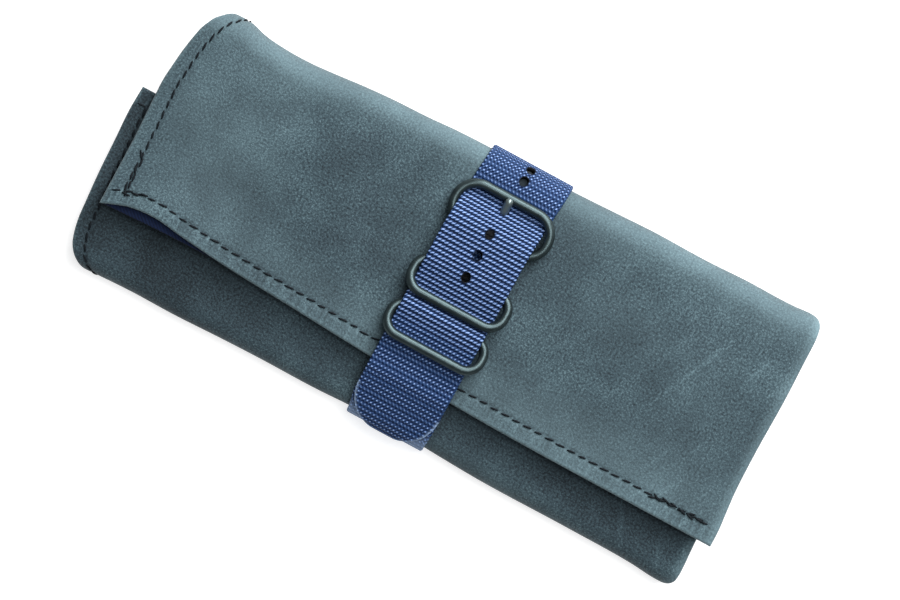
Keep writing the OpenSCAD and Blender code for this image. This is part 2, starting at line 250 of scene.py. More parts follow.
def panel(name, place, stations, left, right, across, thick, material,
          wear_and_shade=None, inset=0.0, relief=None, holes=()):
    """A sheet from left(s) to right(s); a hole is (s, x, half length, half width)."""
    lip = thick / 2
    columns = len(across)
    round_in = [(t, math.sqrt(max(1 - (1 - t) ** 2, 0.004))) for t in (0.0, 0.3, 0.6, 0.85)]
    rows = [(stations[0] + lip * t, f) for t, f in round_in]
    rows += [(s, 1.0) for s in stations if stations[0] + lip < s < stations[-1] - lip]
    rows += [(stations[-1] - lip * t, f) for t, f in reversed(round_in)]
    nose = np.radians([67.5, 45, 22.5, 0, -22.5, -45, -67.5])
    half = columns + len(nose)
    turn = 2 * half
    points, flat, worn_and_shaded, cut = [], [], [], []
    for s, full in rows:
        x0, x1, r = float(left(s)), float(right(s)), lip * full
        span = x0 + r + (x1 - x0 - 2 * r) * across
        ss = np.full(turn, float(s))
        xs = np.concatenate([span, x1 - r + r * np.cos(nose), span[::-1], x0 + r - r * np.cos(nose)])
        depth = np.concatenate([np.full(columns, lip - r), lip - r * np.sin(nose),
                                np.full(columns, lip + r), lip + r * np.sin(nose)])
        inside = np.zeros(columns, dtype=bool)
        for hole_s, hole_x, long, wide in holes:
            ds, dx = (ss - hole_s) / long, (xs - hole_x) / wide
            reach = np.hypot(ds, dx)
            inside |= reach[:columns] < 1
            push = np.where(reach < 1, 1 / np.maximum(reach, 0.01), 1)
            ss = hole_s + (ss - hole_s) * push
            xs = hole_x + (xs - hole_x) * push
        cut.append(inside)
        p, n = place(ss, xs)
        if relief is not None:
            top = relief(ss, xs)
            depth = depth - np.where(depth < lip, top, -top)
        points.append(p - n * (depth + inset)[:, None])
        flat.append(np.stack([xs, ss], 1))
        worn_and_shaded.append(np.zeros_like(xs) if wear_and_shade is None else wear_and_shade(ss, xs))
    faces = []
    gone = set()
    for k in range(len(rows) - 1):
        gone |= {(k, i) for i in range(columns - 1)
                 if cut[k][i] and cut[k][i + 1] and cut[k + 1][i] and cut[k + 1][i + 1]}
        for i in range(turn):
            cell = -1
            if i < columns - 1:
                cell = i
            elif half <= i < half + columns - 1:
                cell = half + columns - 2 - i
            if (k, cell) not in gone:
                faces.append((k * turn + i, k * turn + (i + 1) % turn,
                              (k + 1) * turn + (i + 1) % turn, (k + 1) * turn + i))
    for k, i in gone:
        for near, first, second in (
            ((k - 1, i), (k, i), (k, i + 1)),
            ((k + 1, i), (k + 1, i), (k + 1, i + 1)),
            ((k, i - 1), (k, i), (k + 1, i)),
            ((k, i + 1), (k, i + 1), (k + 1, i + 1)),
        ):
            if near not in gone:
                (ka, ia), (kb, ib) = first, second
                faces.append((ka * turn + ia, kb * turn + ib,
                              kb * turn + half + columns - 1 - ib, ka * turn + half + columns - 1 - ia))
    for base in (0, (len(rows) - 1) * turn):
        faces += [(base + i, base + i + 1, base + half + columns - 2 - i, base + half + columns - 1 - i)
                  for i in range(columns - 1)]
        faces.append(tuple(base + columns - 1 + i for i in range(len(nose) + 2)))
        faces.append(tuple(base + half + columns - 1 + i for i in range(len(nose) + 1)) + (base,))
    mesh = bpy.data.meshes.new(name)
    mesh.from_pydata((np.concatenate(points) * 0.001).tolist(), [], faces)
    mesh.attributes.new("rub", "FLOAT", "POINT").data.foreach_set(
        "value", np.concatenate(worn_and_shaded).astype(np.float32))
    corner = np.empty(len(mesh.loops), dtype=np.int32)
    mesh.loops.foreach_get("vertex_index", corner)
    mesh.uv_layers.new(name="UVMap").data.foreach_set(
        "uv", (np.concatenate(flat)[corner] * 0.001).astype(np.float32).ravel())
    return smooth_piece(name, mesh, material)


def smooth_piece(name, mesh, material):
    """A mesh made a piece: loose points gone, faces outwards, shaded smooth."""
    shape = bmesh.new()
    shape.from_mesh(mesh)
    bmesh.ops.delete(shape, geom=[v for v in shape.verts if not v.link_faces], context="VERTS")
    bmesh.ops.recalc_face_normals(shape, faces=shape.faces)
    shape.to_mesh(mesh)
    shape.free()
    mesh.polygons.foreach_set("use_smooth", [True] * len(mesh.polygons))
    mesh.materials.append(material)
    piece = bpy.data.objects.new(name, mesh)
    stage.collection.objects.link(piece)
    return piece


def ripple(x, y, size, seed):
    return np.array([noise.noise(Vector((a / size, b / size, seed))) for a, b in zip(x, y)])


# Heights and fold axes in mm. The hide rests on the strap at floor_z, turns up round the front axis
# into the leaf, and over the back axis into the flap; s is 0 at each free edge.
floor_z = 1.4
leaf_z = 12.6
leaf_flat = 47.2
leaf_edge_y = 11.8
leaf_fall = 2.8
front_y = -35.4
front_z = 7.0
front_r = 5.6
flap_z = 15.3
flap_flat = 60.05
back_y = 35.05
back_z = 8.35
back_r = 6.95
body_deep = 70.45
back_bulge = along((-104, 0.3), (-92, 0.3), (-88, 0.3), (-82, -1.2), (-76, -1.8), (-68, -1.9), (-60, -1.3),
                   (-52, -0.5), (-42, 0.2), (-32, 0.5), (-22, 1.1), (-14, 1.3), (0, 1.3), (14, 1.5),
                   (28, 2.0), (38, 2.4), (58, 2.4), (68, 2.8), (84, 2.9), (90, 3.3), (94, 2.8), (98, 2.8))
front_pinch = along((-108, 0), (-96, 0), (-88, 0.4), (-82, 0.6), (-68, 0.6), (-52, 1.1), (-42, 1.3),
                    (-22, 1.4), (-12, 1.8), (4, 1.8), (16, 1.2), (28, 0.7), (58, 0.7), (78, 0.5), (88, -0.1),
                    (92, 0.2), (98, 0.2))
flap_edge = along((-100.5, -22.6), (-98, -21.6), (-93, -19.8), (-85, -18.9), (-76, -19.9), (-63, -21.2),
                  (-40, -22.6), (-14.6, -24.1), (12, -25.1), (96, -25.6))


def sag(x, z, top):
    """How far a layer hangs below the strap's height away from the strap, most at the table."""
    return -1.3 * ease((np.abs(x) - 13) / 25) * (1 - ease((z - floor_z) / (top - floor_z)))


def flap_place(s, x):
    """The flap gapes at the sewn end, billows a little, and turns down round the back fold."""
    bulge = back_bulge(x)
    q = np.clip(s / flap_flat, -0.05, 1)
    phi = math.pi / 2 - np.clip((s - flap_flat) / back_r, 0, math.pi)
    flat = s < flap_flat
    gape = 2.6 * np.exp(-((x + 80) / 20) ** 2) * ease((24 - s) / 24)
    billow = 0.9 * ease((np.abs(x) - 16) / 30) * (0.5 + ripple(x, s, 42.0, 3.0)) * ease((60 - s) / 20)
    fold_y = back_y + bulge
    y = np.where(flat, flap_edge(x) * (1 - q) + fold_y * q, fold_y + back_r * np.cos(phi))
    z = np.where(flat, flap_z + np.maximum(gape + billow, 0), back_z + back_r * np.sin(phi))
    z = z + sag(x, z, flap_z)
    n = np.stack([np.zeros_like(x), np.where(flat, 0, np.cos(phi)), np.where(flat, 1, np.sin(phi))], 1)
    return np.stack([x, y, z], 1), n


def leaf_place(s, x):
    """The leaf dips beside the strap, falls towards the front fold and turns under it."""
    pinch = front_pinch(x)
    q = np.clip(s / leaf_flat, -0.05, 1)
    phi = math.pi / 2 + np.clip((s - leaf_flat) / front_r, 0, math.pi)
    flat = s < leaf_flat
    dip = 0.5 * ease((np.abs(x) - 16) / 30) * (0.5 + ripple(x, s, 38.0, 9.0)) * ease((47 - s) / 16)
    fold_y = front_y + pinch
    y = np.where(flat, leaf_edge_y * (1 - q) + fold_y * q, fold_y + front_r * np.cos(phi))
    z = np.where(flat, leaf_z - np.maximum(dip, 0), front_z + front_r * np.sin(phi))
    fall = leaf_fall * ease((s - 26) / 24) * (z - floor_z) / (2 * front_r)
    z = z - fall + sag(x, z, leaf_z)
    n = np.stack([np.zeros_like(x), np.where(flat, 0, np.cos(phi)), np.where(flat, 1, np.sin(phi))], 1)
    return np.stack([x, y, z], 1), n


def bottom_place(s, x):
    q = s / body_deep
    y = (front_y + front_pinch(x)) * (1 - q) + (back_y + back_bulge(x)) * q
    z = floor_z + sag(x, np.full_like(x, floor_z), flap_z)
    n = np.tile((0.0, 0.0, -1.0), (len(x), 1))
    return np.stack([x, y, z], 1), n


# The ends of each panel, sewn on the left and turned in on the right, drift along the hide.
flap_left = along((0, -100.4), (24, -100.7), (36, -101.2), (40, -101.3), (45, -100.9), (50, -100.4),
                  (55, -99.6), (59, -98.7), (61, -97.9), (63.1, -97.0), (65.6, -95.4), (67.2, -94.5),
                  (71, -92.6), (81.9, -93.5))
flap_right = along((0, 95.2), (5, 95.1), (10, 94.6), (15, 94.1), (25, 93.8), (45, 94.0), (55, 93.8),
                   (61, 93.7), (64.8, 93.4), (66.2, 93.2), (68, 92.7), (71, 91.4), (75, 90.8), (81.9, 91))
leaf_left = along((0, -105.5), (6.8, -105.8), (16.8, -105.4), (26.8, -105.0), (35.8, -104.4), (41.8, -103.9),
                  (45.8, -103.0), (47.8, -102.3), (49.9, -101.2), (51.1, -100.4), (52.6, -99.2), (56, -96.8),
                  (60, -96.5), (64.8, -97))
leaf_right = along((0, 91.4), (41, 91.4), (45, 91.7), (50, 91.8), (52, 91.6), (54, 90.8), (56, 89.3),
                   (60, 89), (64.8, 90))
body_left = along((0, -97), (body_deep, -94))
body_right = along((0, 90), (body_deep, 91))

# How worn and how shaded the leather is: over 0 it is rubbed pale, as along the folds, the cut edges and
# the band over the flap's seam; below 0 it is painted shade, as on the leaf below the flap and under the
# strap.
front_band = along((-102, 0), (-80, 0.03), (-60, 0.11), (-40, 0.18), (-23, 0.28), (20, 0.28), (50, 0.36),
                   (80, 0.3), (96, 0.18))
# leaf_shade is painted shade over the leaf, from the flap's shadow and the leaf's turn from the light.
leaf_shade = along((-108, -0.3), (-98, -0.26), (-90, -0.22), (-79, -0.3), (-65, -0.28), (-51, -0.2),
                   (-37, -0.15), (-23, -0.12), (19, -0.09), (47, -0.13), (61, -0.2), (96, -0.18))


def strap_shift(y):
    """The strap lies a little askew: its middle drifts along the roll."""
    return 2.0 * ease((y - 16) / 34) - 0.6


def flap_wear_and_shade(s, x):
    end = np.exp(-((flap_right(s) - x) / 2.2) ** 2)
    crest = 0.46 * np.exp(-((s - 66) / 6.0) ** 2)
    edge = 0.45 * np.exp(-(s / 0.8) ** 2) + 0.3 * np.exp(-((x - flap_left(s)) / 0.8) ** 2)
    # The negative patch at x -22, s 24 is painted shadow of the strap on the leather beside it.
    patches = (  # middle x and s, width along x and s, change
        (24, 58, 14, 7, 0.13), (-16, 66, 14, 7, 0.2), (-76, 30, 20, 32, 0.2), (-76, 62, 14, 8, 0.12),
        (78, 62, 20, 8, 0.1), (69, 41, 18, 12, 0.06), (75, 22, 20, 10, 0.08), (-22, 24, 13, 13, -0.17),
        (-46, 42, 15, 13, -0.13), (42, 41, 14, 10, 0.08), (-92, 40, 7, 14, 0.1),
    )
    soft = sum(a * np.exp(-((x - px) / wx) ** 2 - ((s - ps) / ws) ** 2) for px, ps, wx, ws, a in patches)
    soft = soft + front_band(x) * (1 - ease((s - 4) / 20))
    # The leather under the strap is darkened: painted shade, which shows through the strap's holes.
    shade_under_strap = ease((11.6 - np.abs(x - strap_shift(s - 25))) / 1.2) * ease((s - 12) / 6)
    return np.clip(end * 0.55 + crest + edge + soft, -0.3, 1) * (1 - shade_under_strap) - 0.5 * shade_under_strap


def leaf_wear_and_shade(s, x):
    end = np.exp(-((leaf_right(s) - x) / 2.2) ** 2)
    crest = (0.2 + 0.12 * np.exp(-((x - 32) / 22) ** 2)) * np.exp(-((s - 53) / 5.0) ** 2)
    edge = 0.3 * np.exp(-((x - leaf_left(s)) / 0.8) ** 2)
    # The leaf's darkening here is painted shade, not the leather's own tone.
    return np.clip(end * 0.6 + crest + edge, 0, 1) + leaf_shade(x)


def spread(*stops):
    """Stations along a hide, closer where it bends or is sewn."""
    return np.concatenate([np.linspace(a, b, n, endpoint=False) for a, b, n in stops] + [[stops[-1][1]]])


def flap_dent(s, x):
    """The furrow that the thread pulls into the flap, along its free edge and its sewn end."""
    front = np.exp(-((s - 4.7) / 0.7) ** 2) * ease((x + 97.5) / 1.5) * ease((91.8 - x) / 1)
    end = np.exp(-((x - flap_left(s) - 4.4) / 0.7) ** 2) * ease((s - 3) / 1.5)
    return -0.3 * np.maximum(front, end)


def leaf_dent(s, x):
    """The same furrow along the leaf's sewn end."""
    return -0.3 * np.exp(-((x - leaf_left(s) - 4.0) / 0.7) ** 2)


wide = spread((0, 0.05, 30), (0.05, 0.95, 120), (0.95, 1, 14))
hide_thick = 1.6
flap_run = 81.88
leaf_run = 64.79
flap_stations = spread((0, 2.6, 6), (2.6, 7, 14), (7, 58, 44), (58, flap_run, 36))
flap_hide = panel("flap_hide", flap_place, flap_stations,
                  flap_left, flap_right, wide, hide_thick, nubuck, flap_wear_and_shade, relief=flap_dent)
leaf_hide = panel("leaf_hide", leaf_place, spread((0, 47, 40), (47, leaf_run, 30)),
                  leaf_left, leaf_right, wide, hide_thick, nubuck, leaf_wear_and_shade, relief=leaf_dent)
body_hide = panel("body_hide", bottom_place, np.linspace(0, body_deep, 40),
                  body_left, body_right, wide, hide_thick, nubuck)
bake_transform(flap_hide)
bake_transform(leaf_hide)
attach(body_hide, "case_body")
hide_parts("flap_leather", "back_fold_leather")
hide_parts("front_leather", "front_fold_leather")
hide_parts("bottom_leather")


# The lining: navy twill cloth glued inside the hide. It shows as a thin crescent where the flap's
# cut edge has drawn back near the sewn end, and all over the inside when the roll is open.
navy_twill, shader, wire = finish_of("navy_twill", 0.9, sheen=0.05, specular=0.1)
weft = wire.node("ShaderNodeVectorMath", {"operation": "SCALE"}, Scale=1000.0,
                 Vector=wire.node("ShaderNodeUVMap"))
twill = wire.node("ShaderNodeTexWave", {"bands_direction": "DIAGONAL"}, Vector=weft, Scale=0.55,
                  Distortion=0.6)
fuzz = wire.node("ShaderNodeTexNoise", in_plane, Vector=weft, Scale=0.9, Detail=3.0)
plug((twill * 0.5 + fuzz * 0.5).mix((*srgb(8, 14, 30), 1), (*srgb(18, 30, 56), 1)), shader, "Base Color")
plug(wire.node("ShaderNodeBump", Strength=0.3, Distance=0.0002, Height=twill), shader, "Normal")

cloth_thick = 0.75
under_hide = 1.62
hem = 4
cut_back = 0.5
lining_edge = along((-100.5, -22.3), (-93, -22.0), (-85, -21.6), (-70, -21.2), (-63, -21.1), (-55, -21.3),
                    (-40, -22.0), (-14.6, -23.5), (12, -24.5), (96, -25.0))


def flap_lining_place(s, x):
    p, n = flap_place(s, x)
    shift = (lining_edge(x) - flap_edge(x)) * np.clip(1 - s / flap_flat, 0, 1)
    p[:, 1] += shift
    return p, n


flap_cloth = panel("flap_cloth", flap_lining_place, np.linspace(0, flap_run, 60),
                   lambda s: flap_left(s) + cut_back, lambda s: flap_right(s) - hem,
                   wide, cloth_thick, navy_twill, inset=under_hide)
leaf_cloth = panel("leaf_cloth", leaf_place, np.linspace(0.6, leaf_run, 50),
                   lambda s: leaf_left(s) + cut_back, lambda s: leaf_right(s) - hem,
                   wide, cloth_thick, navy_twill, inset=under_hide)
body_cloth = panel("body_cloth", bottom_place, np.linspace(0, body_deep, 30),
                   lambda s: body_left(s) + cut_back, lambda s: body_right(s) - hem,
                   wide, cloth_thick, navy_twill, inset=under_hide)
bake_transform(flap_cloth)
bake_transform(leaf_cloth)
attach(body_cloth, "case_body")
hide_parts("flap_lining", "back_fold_lining")
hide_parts("front_lining", "front_fold_lining")
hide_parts("bottom_lining")

# The pockets: a second layer of the same twill sewn down in six channels, so that the brushes slide
# in along the roll from the sewn end. Its mouth is a turned hem.
pocket_low, pocket_high = [[c * 1000 for c in corner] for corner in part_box("pocket_panel")]
pocket_long = pocket_high[1] - pocket_low[1]
channels = 6
channel = pocket_long / channels


def pocket_place(s, x):
    y = pocket_low[1] + s
    puff = 0.35 * np.abs(np.sin(np.pi * s / channel)) * ease((x - pocket_low[0]) / 6 + 0.4)
    z = pocket_high[2] - 0.2 + puff + sag(x, np.full_like(x, floor_z), flap_z)
    return np.stack([x, y, z], 1), np.tile((0.0, 0.0, 1.0), (len(x), 1))


pocket_cloth = panel("pocket_cloth", pocket_place, np.linspace(0, pocket_long, 73),
                     lambda s: pocket_low[0], lambda s: pocket_high[0] - hem, wide, cloth_thick, navy_twill)
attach(pocket_cloth, "case_body")
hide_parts("pocket_panel")


# The sewing: thick black waxed thread pulled down into the leather, one stitch after another along
# the sewn end and the flap's front edge, with untidy back stitches where each row stops.
waxed_thread, shader, wire = finish_of("waxed_thread", 0.6, specular=0.12)
strand = wire.node("ShaderNodeTexCoord", output=3)
ply = wire.node("ShaderNodeTexNoise", Vector=strand, Scale=4000.0, Detail=2.0)
plug(ply.mix((*srgb(3, 6, 9), 1), (*srgb(18, 26, 32), 1)), shader, "Base Color")
plug(wire.node("ShaderNodeBump", Strength=0.5, Distance=0.0001, Height=ply), shader, "Normal")


def stitch_tree():
    """One bead of thread on each place, laid along its run, of slightly uneven length."""
    tree = bpy.data.node_groups.new("row_of_stitches", "GeometryNodeTree")
    ports = tree.interface
    ports.new_socket("Places", in_out="INPUT", socket_type="NodeSocketGeometry")
    for label, value in (("Stitch Length", 0.0029), ("Thread Width", 0.00066), ("Thread Height", 0.00065)):
        ports.new_socket(label, in_out="INPUT", socket_type="NodeSocketFloat").default_value = value
    ports.new_socket("Thread", in_out="INPUT", socket_type="NodeSocketMaterial")
    ports.new_socket("Stitches", in_out="OUTPUT", socket_type="NodeSocketGeometry")

    def add(kind, **settings):
        made = tree.nodes.new(kind)
        for key, value in settings.items():
            setattr(made, key, value)
        return made

    def join(a, out, b, into):
        tree.links.new(a.outputs[out], b.inputs[into])

    source = add("NodeGroupInput")
    run = add("GeometryNodeInputNamedAttribute", data_type="FLOAT_VECTOR")
    run.inputs["Name"].default_value = "run"
    up = add("GeometryNodeInputNamedAttribute", data_type="FLOAT_VECTOR")
    up.inputs["Name"].default_value = "up"
    lay = add("FunctionNodeAxesToRotation", primary_axis="X", secondary_axis="Z")
    join(run, 0, lay, "Primary Axis")
    join(up, 0, lay, "Secondary Axis")
    uneven = add("FunctionNodeRandomValue", data_type="FLOAT")
    uneven.inputs["Min"].default_value = 0.82
    uneven.inputs["Max"].default_value = 1.1
    uneven.inputs["Seed"].default_value = 7
    length = add("ShaderNodeMath", operation="MULTIPLY")
    tree.links.new(uneven.outputs[1], length.inputs[0])
    join(source, "Stitch Length", length, 1)
    size = add("ShaderNodeCombineXYZ")
    join(length, 0, size, 0)
    join(source, "Thread Width", size, 1)
    join(source, "Thread Height", size, 2)
    bead = add("GeometryNodeMeshUVSphere")
    bead.inputs["Segments"].default_value = 8
    bead.inputs["Rings"].default_value = 7
    bead.inputs["Radius"].default_value = 0.5
    soft = add("GeometryNodeSetShadeSmooth")
    join(bead, 0, soft, 0)
    put = add("GeometryNodeInstanceOnPoints")
    join(source, "Places", put, "Points")
    join(soft, 0, put, "Instance")
    join(lay, 0, put, "Rotation")
    join(size, 0, put, "Scale")
    real = add("GeometryNodeRealizeInstances")
    join(put, 0, real, 0)
    dress = add("GeometryNodeSetMaterial")
    join(real, 0, dress, 0)
    join(source, "Thread", dress, "Material")
    result = add("NodeGroupOutput")
    join(dress, 0, result, 0)
    return tree


sewing = stitch_tree()


def sew(name, rows, **sizes):
    """Rows are lists of (point in mm, direction, outward normal); returns one plain mesh."""
    stitches = [stitch for row in rows for stitch in row]
    dots = bpy.data.meshes.new(name + "_dots")
    dots.from_pydata([tuple(p * 0.001) for p, run, up in stitches], [], [])
    for label, index in (("run", 1), ("up", 2)):
        data = dots.attributes.new(label, "FLOAT_VECTOR", "POINT").data
        vectors = np.array([stitch[index] for stitch in stitches], dtype=np.float32)
        data.foreach_set("vector", vectors.ravel())
    row = bpy.data.objects.new(name + "_dots", dots)
    stage.collection.objects.link(row)
    modifier = row.modifiers.new("sewing", "NODES")
    modifier.node_group = sewing
    values = {"Thread": waxed_thread, **{key.replace("_", " "): value for key, value in sizes.items()}}
    for item in sewing.interface.items_tree:
        if item.in_out == "INPUT" and item.name in values:
            modifier[item.identifier] = values[item.name]
    whole = bpy.data.meshes.new_from_object(row.evaluated_get(bpy.context.evaluated_depsgraph_get()))
    row.modifiers.remove(modifier)
    bpy.data.objects.remove(row)
    whole.name = name
    piece = bpy.data.objects.new(name, whole)
    stage.collection.objects.link(piece)
    return piece


def stitch_line(place, line, pitch, wander=0.0, tilt=0.0, sink=-0.02, seed=0.0):
    """Stitches at an even pitch along a line of (s, x) points on a panel."""
    line = np.array(line, dtype=float)
    fine = np.linspace(0, len(line) - 1, 1500)
    s = np.interp(fine, range(len(line)), line[:, 0])
    x = np.interp(fine, range(len(line)), line[:, 1])
    p, n = place(s, x)
    walk = np.concatenate([[0], np.cumsum(np.linalg.norm(np.diff(p, axis=0), axis=1))])
    row = []
    for d in np.arange(pitch / 2, walk[-1], pitch):
        at = np.array([np.interp(d, walk, p[:, c]) for c in range(3)])
        ahead = np.array([
            np.interp(d + 0.5, walk, p[:, c]) - np.interp(d - 0.5, walk, p[:, c]) for c in range(3)
        ])
        up = np.array([np.interp(d, walk, n[:, c]) for c in range(3)])
        run = ahead / np.linalg.norm(ahead)
        side = np.cross(up, run)
        shake = noise.noise(Vector((d * 0.37, seed, 0.5)))
        turned = run + side * (tilt + wander * 0.5 * shake)
        row.append((at - up * sink + side * wander * shake, turned / np.linalg.norm(turned), up))
    return row


def end_line(left, low, high, inset=4.4):
    """A line that keeps inset mm from a panel's sewn end."""
    return [(s, float(left(s)) + inset) for s in np.linspace(low, high, 40)]


edge_row = 4.7
flap_front_row = stitch_line(flap_place, [(edge_row, -99.6), (edge_row, 91.5)],
                             pitch=3.5, wander=0.25, tilt=0.16, sink=0.1)
flap_end_row = stitch_line(flap_place, end_line(flap_left, edge_row, 81.5),
                           pitch=3.2, wander=0.2, tilt=0.18, sink=0.1, seed=4.0)
lock_rows = [
    stitch_line(flap_place, [(4.0, 73), (5.3, 91)], 2.9, wander=0.9, tilt=0.15, sink=-0.05, seed=8.0),
    stitch_line(flap_place, [(5.4, 74), (4.2, 91.5)], 2.7, wander=0.9, tilt=-0.2, sink=-0.2, seed=9.0),
    stitch_line(flap_place, [(3.2, -95.2), (18, -96.0)], 2.3, wander=1.3, tilt=0.2, sink=-0.05, seed=10.0),
    stitch_line(flap_place, [(4.2, -96.3), (5.0, -88)], 2.6, wander=0.9, tilt=-0.2, sink=-0.2, seed=11.0),
]
leaf_edge_row = stitch_line(leaf_place, [(edge_row, -105.2), (edge_row, 87)],
                            pitch=3.6, wander=0.2, tilt=0.08, sink=0.1, seed=12.0)
leaf_end_row = stitch_line(leaf_place, end_line(leaf_left, edge_row, 64.5, 4.0),
                           pitch=3.2, wander=0.2, tilt=0.18, sink=0.1, seed=13.0)
body_end_row = stitch_line(bottom_place, end_line(body_left, 1, 69.5),
                           pitch=3.2, wander=0.15, tilt=0.06, sink=0.05, seed=14.0)
pocket_rows = [
    stitch_line(pocket_place, [(channel * k, pocket_low[0] + 2), (channel * k, 78)],
                pitch=3.0, wander=0.1, tilt=0.05, sink=0.0, seed=k)
    for k in range(1, channels)
]
for piece_name, rows, node, body in (
    ("flap_front_stitches", [flap_front_row], "flap_front_seam", "flap"),
    ("flap_end_stitches", [flap_end_row], "flap_end_seam", "flap"),
    ("flap_back_stitches", lock_rows, "flap_lock_stitches", "flap"),
    ("leaf_edge_stitches", [leaf_edge_row], "front_edge_seam", "front_leaf"),
    ("leaf_end_stitches", [leaf_end_row], "front_end_seam", "front_leaf"),
    ("body_end_stitches", [body_end_row], "bottom_end_seam", "case_body"),
    ("pocket_stitches", pocket_rows, "pocket_divider_seams", "case_body"),
):
    row_piece = sew(piece_name, rows)
    if body == "flap":
        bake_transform(row_piece)
    elif body == "front_leaf":
        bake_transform(row_piece)
    else:
        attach(row_piece, body)
    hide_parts(node)


# The strap: one-inch ribbed nylon webbing, woven navy. Its rib crests are painted pale as a highlight and
# the hollows between them dark as shade; this painted light fades at both ends, where the strap turns from
# the light, and a finer pattern shows there. It runs under the case and round both folds; the tail goes up
# through the buckle and under both keepers, and its end is melted round.
strap_half = 12.7
rib_pitch = 1.42
yarn_pitch = 1.15
nylon, shader, wire = finish_of("ribbed_nylon", 0.55, specular=0.12)
yarn = wire.node("ShaderNodeSeparateXYZ", Vector=wire.node("ShaderNodeUVMap"))
cross = yarn * 1000.0
length = Wire(yarn.tree, yarn.socket.node.outputs[1]) * 1000.0
rib = length * (1 / rib_pitch)
over = (cross * (1 / yarn_pitch) + rib * 0.3).math("FRACT")
rib_at = (rib + over * 0.3).math("FRACT")
hump = (rib_at * math.pi).math("SINE")
knuckle = (over * math.pi).math("SINE") ** 0.4
weave = hump * (0.6 + knuckle * 0.4)
fibres = wire.node("ShaderNodeMapping", Vector=wire.node("ShaderNodeUVMap"), Scale=(900.0, 4500.0, 1.0))
filament = wire.node("ShaderNodeTexNoise", in_plane, Vector=fibres, Scale=1.0, Detail=2.0)
taut_from = 26.0
taut_to = 72.0
taut_fade = 8.0
# This fades the painted rib highlight and shade at both ends, where the strap turns from the light.
rib_light_fade = (1.0 - length.step(taut_from, taut_from + taut_fade)) * 0.65
rib_light_fade = rib_light_fade + length.step(taut_to, taut_to + taut_fade) * 0.52
pick = (length * (math.tau / rib_pitch)).math("SINE") * (cross * (math.tau / yarn_pitch)).math("SINE")
tone_with_rib_light = (weave * 0.85 + filament * 0.3 - 0.1) * (1.0 - rib_light_fade) + rib_light_fade * (0.62 + pick * 0.33)
# The ramp's navy is the dye; its dark low stop and pale top stop are painted shade and painted highlight on
# the ribs.
webbing_blue_and_rib_light = wire.node("ShaderNodeValToRGB", {"stops": [
    (0.12, srgb(2, 9, 30)),
    (0.45, srgb(8, 28, 62)),
    (0.72, srgb(40, 66, 106)),
    (0.92, srgb(138, 164, 212)),
]}, Fac=tone_with_rib_light)
# Over 0 this is the pale melted end; below 0 it darkens the holes, partly a melted rim and partly painted
# shade.
melt_and_hole_shade = wire.node("ShaderNodeAttribute", {"attribute_name": "rub"}, 2)
sealed = melt_and_hole_shade.math("MAXIMUM", 0.0).mix(webbing_blue_and_rib_light, (*srgb(146, 170, 202), 1))
burnt_rim_and_shade = melt_and_hole_shade * -1.0
plug(burnt_rim_and_shade.math("MAXIMUM", 0.0).mix(sealed, (*srgb(7, 8, 11), 1)), shader, "Base Color")
plug(0.72 - weave * 0.2 - melt_and_hole_shade * 0.2, shader, "Roughness")
woven = weave + filament * 0.25
plug(wire.node("ShaderNodeBump", Strength=0.7, Distance=0.0003, Height=woven), shader, "Normal")


def ribs(s, x):
    """The relief of the weave, flatter where the webbing is slack."""
    over_at = np.mod(x / yarn_pitch + 0.3 * s / rib_pitch, 1)
    hump_at = np.sin(np.pi * np.mod(s / rib_pitch + 0.15, 1)) * (0.7 + 0.3 * np.sin(np.pi * over_at))
    tight = 1 - 0.5 * (1 - ease((s - taut_from) / taut_fade) + ease((s - taut_to) / taut_fade))
    return 0.18 * tight * hump_at * ease((strap_half + 0.2 - np.abs(x)) / 0.6)


def route(points, side, start=0.0):
    """A strap's outer face along (y, z) points; side is 1 where the outside is on the right."""
    line = np.array(points, dtype=float)
    gap = np.linalg.norm(np.diff(line, axis=0), axis=1)
    line = line[np.concatenate([[True], gap > 1e-6])]
    walk = np.concatenate([[0], np.cumsum(np.linalg.norm(np.diff(line, axis=0), axis=1))])
    even = np.linspace(0, walk[-1], max(int(walk[-1] / 0.15), 8))
    y, z = np.interp(even, walk, line[:, 0]), np.interp(even, walk, line[:, 1])
    kernel = np.exp(-np.linspace(-2, 2, 13) ** 2)
    kernel /= kernel.sum()
    for _ in range(2):
        y[6:-6] = np.convolve(y, kernel, "valid")
        z[6:-6] = np.convolve(z, kernel, "valid")
    walk = np.concatenate([[0], np.cumsum(np.hypot(np.diff(y), np.diff(z)))]) + start
    dy, dz = np.gradient(y, walk), np.gradient(z, walk)
    size = np.hypot(dy, dz)

    def place(s, x):
        ny, nz = np.interp(s, walk, dz / size) * side, np.interp(s, walk, -dy / size) * side
        big = np.hypot(ny, nz)
        across_y = np.interp(s, walk, y)
        return (np.stack([x + strap_shift(across_y), across_y, np.interp(s, walk, z)], 1),
                np.stack([np.zeros_like(x), ny / big, nz / big], 1))

    return place, float(walk[0]), float(walk[-1]), (walk, y)


# The bars of the buckle and the two keepers, and the turns of the strap round the folds, in mm.
buckle_bar_y = 20.5
upper_bar_y = 8.0
lower_bar_y = -6.0
bar_z = 18.5
front_turn_y = -33.6
front_turn_z = 6.3
back_turn_y = 36.4
back_turn_r = 8.35
split_y = -15
band_z = 17.0
tail_low = 15.5
tail_high = 21.1
under_thick = 1.4
band_thick = 1.0
tail_thick = 1.2
loop_thick = 0.6


def rise(d):
    """How far the folded-back end is lifted at a distance d from a bar."""
    return 3.0 * (1 - ease(np.abs(d) / 5.0))


def band_under(y):
    """The folded-back end lies on the band and rises over the three bars that it holds."""
    highest = np.maximum(rise(y - buckle_bar_y), rise(y - upper_bar_y))
    return band_z + np.maximum(highest, rise(y - lower_bar_y)) * 0.97


